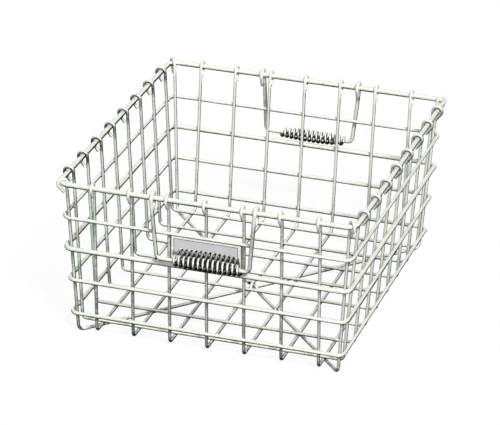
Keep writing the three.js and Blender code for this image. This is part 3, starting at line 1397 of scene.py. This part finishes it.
@dataclass(frozen=True)
class Studio:
    """A pale floor, soft lamps, and the camera at the photograph's place."""

    floor_size: float = 60
    floor_white: float = 0.12
    floor_bounce: float = 0.08
    floor_drop: float = 0.0002
    floor_glow: float = 0.91
    ambient: float = 0.04
    lamps: tuple[Lamp, ...] = (
        Lamp("key", 3, math.radians(38), math.radians(44), math.radians(12)),
        Lamp("front", 0.75, math.radians(17), math.radians(22), math.radians(8)),
        Lamp("back", 0.75, math.radians(205), math.radians(16), math.radians(20)),
    )
    camera_place: tuple[float, float, float] = (1.1812, -3.9154, 1.9651)
    yaw: float = 0.2949
    pitch: float = -0.425
    roll: float = 0.0264
    lens: float = 239.594
    sensor: float = 36
    sight: float = 200

    def build(self) -> None:
        """Sets up the floor, the light and the camera."""
        self._floor()
        self._world()
        for lamp in self.lamps:
            lamp.hang()
        self._camera()
        bpy.context.scene.view_settings.view_transform = "Standard"

    def _seen(self, sheet: NodeSheet) -> Socket:
        """A value of 1 on rays that show the background, straight or in metal, and 0 on others.

        Args:
            sheet: The nodes that it joins.

        Returns:
            The value.
        """
        path = sheet.add("ShaderNodeLightPath")
        shown = sheet.math(Sum.LARGEST, path.outputs["Is Camera Ray"], path.outputs["Is Glossy Ray"])
        return sheet.math(Sum.LARGEST, shown, path.outputs["Is Transmission Ray"])

    def _floor(self) -> None:
        """Lays the floor."""
        deselect()
        bpy.ops.mesh.primitive_plane_add(size=self.floor_size, location=(0, 0, -self.floor_drop))
        floor = bpy.context.object
        floor.name = "floor"
        material = bpy.data.materials.new("pale floor")
        sheet = NodeSheet(material)
        seen = self._seen(sheet)
        matt = sheet.add("ShaderNodeBsdfDiffuse")
        sheet.join(sheet.stretched(seen, (0, 1), (self.floor_bounce, self.floor_white)), matt.inputs["Color"])
        glow = sheet.add("ShaderNodeEmission")
        sheet.join(sheet.stretched(seen, (0, 1), (0, self.floor_glow)), glow.inputs["Strength"])
        lit = sheet.add("ShaderNodeAddShader")
        sheet.join(matt.outputs["BSDF"], lit.inputs[0])
        sheet.join(glow.outputs["Emission"], lit.inputs[1])
        output = sheet.add("ShaderNodeOutputMaterial")
        sheet.join(lit.outputs["Shader"], output.inputs["Surface"])
        floor.data.materials.append(material)

    def _world(self) -> None:
        """Fills the room with soft light, white where it is seen."""
        world = bpy.data.worlds.new("studio")
        bpy.context.scene.world = world
        sheet = NodeSheet(world)
        background = sheet.add("ShaderNodeBackground")
        background.inputs["Color"].default_value = (1, 1, 1, 1)
        strength = sheet.stretched(self._seen(sheet), (0, 1), (self.ambient, 1))
        sheet.join(strength, background.inputs["Strength"])
        output = sheet.add("ShaderNodeOutputWorld")
        sheet.join(background.outputs["Background"], output.inputs["Surface"])

    def _camera(self) -> None:
        """Sets the camera at the photograph's place."""
        aim = Matrix.Rotation(self.yaw, 3, "Z") @ Matrix.Rotation(math.pi / 2 + self.pitch, 3, "X")
        turn = aim @ Matrix.Rotation(self.roll, 3, "Z")
        lens = bpy.data.cameras.new("camera")
        lens.lens = self.lens
        lens.sensor_width = self.sensor
        lens.clip_end = self.sight
        camera = bpy.data.objects.new("camera", lens)
        camera.location = self.camera_place
        camera.rotation_euler = turn.to_euler()
        bpy.context.scene.collection.objects.link(camera)
        bpy.context.scene.camera = camera


def main() -> None:
    """Builds the basket from the floor up, then the studio."""
    logging.basicConfig(level=logging.INFO, format="%(name)s: %(message)s")
    outline = Outline()
    wire = WireFinish().material()
    # Wire with painted light at the hooks over the rim, lifting the painted shade under them.
    brightened = WireFinish(name="rubbed wire", hook_shade=-0.45).material()
    # Side-wall rods with a darker side colour and stronger painted shade on flanks and hooks.
    shaded = WireFinish(name="grimy wire", side=(0.62, 0.7, 0.6), flank_shade=0.5, hook_shade=0.2).material()
    # Spring wire, with painted light on top and near-black painted shade below.
    spring = WireFinish(
        name="spring wire", top=(0.88, 0.87, 0.82), side=(0.72, 0.75, 0.68), under=(0.02, 0.025, 0.015),
        roughness=(0.3, 0.42),
    ).material()
    # Weld metal in its own darker colour, with the same painted light and shade by facing.
    weld = WireFinish(
        name="weld metal", top=(0.4, 0.41, 0.37), side=(0.2, 0.22, 0.18), under=(0.04, 0.045, 0.035),
        roughness=(0.45, 0.6), mottle_scale=700,
    ).material()
    sheet = SheetFinish().material()
    LongRods(outline).build(brightened)
    CrossRods(outline).build(shaded)
    CornerRods(outline).build(brightened)
    Hoops(outline).build(wire)
    Welds(outline).build(weld, wire)
    LabelPlate(outline).build(sheet)
    Handles(outline, Bail(outline)).build(brightened, spring)
    Studio().build()


if __name__ == "__main__":
    main()
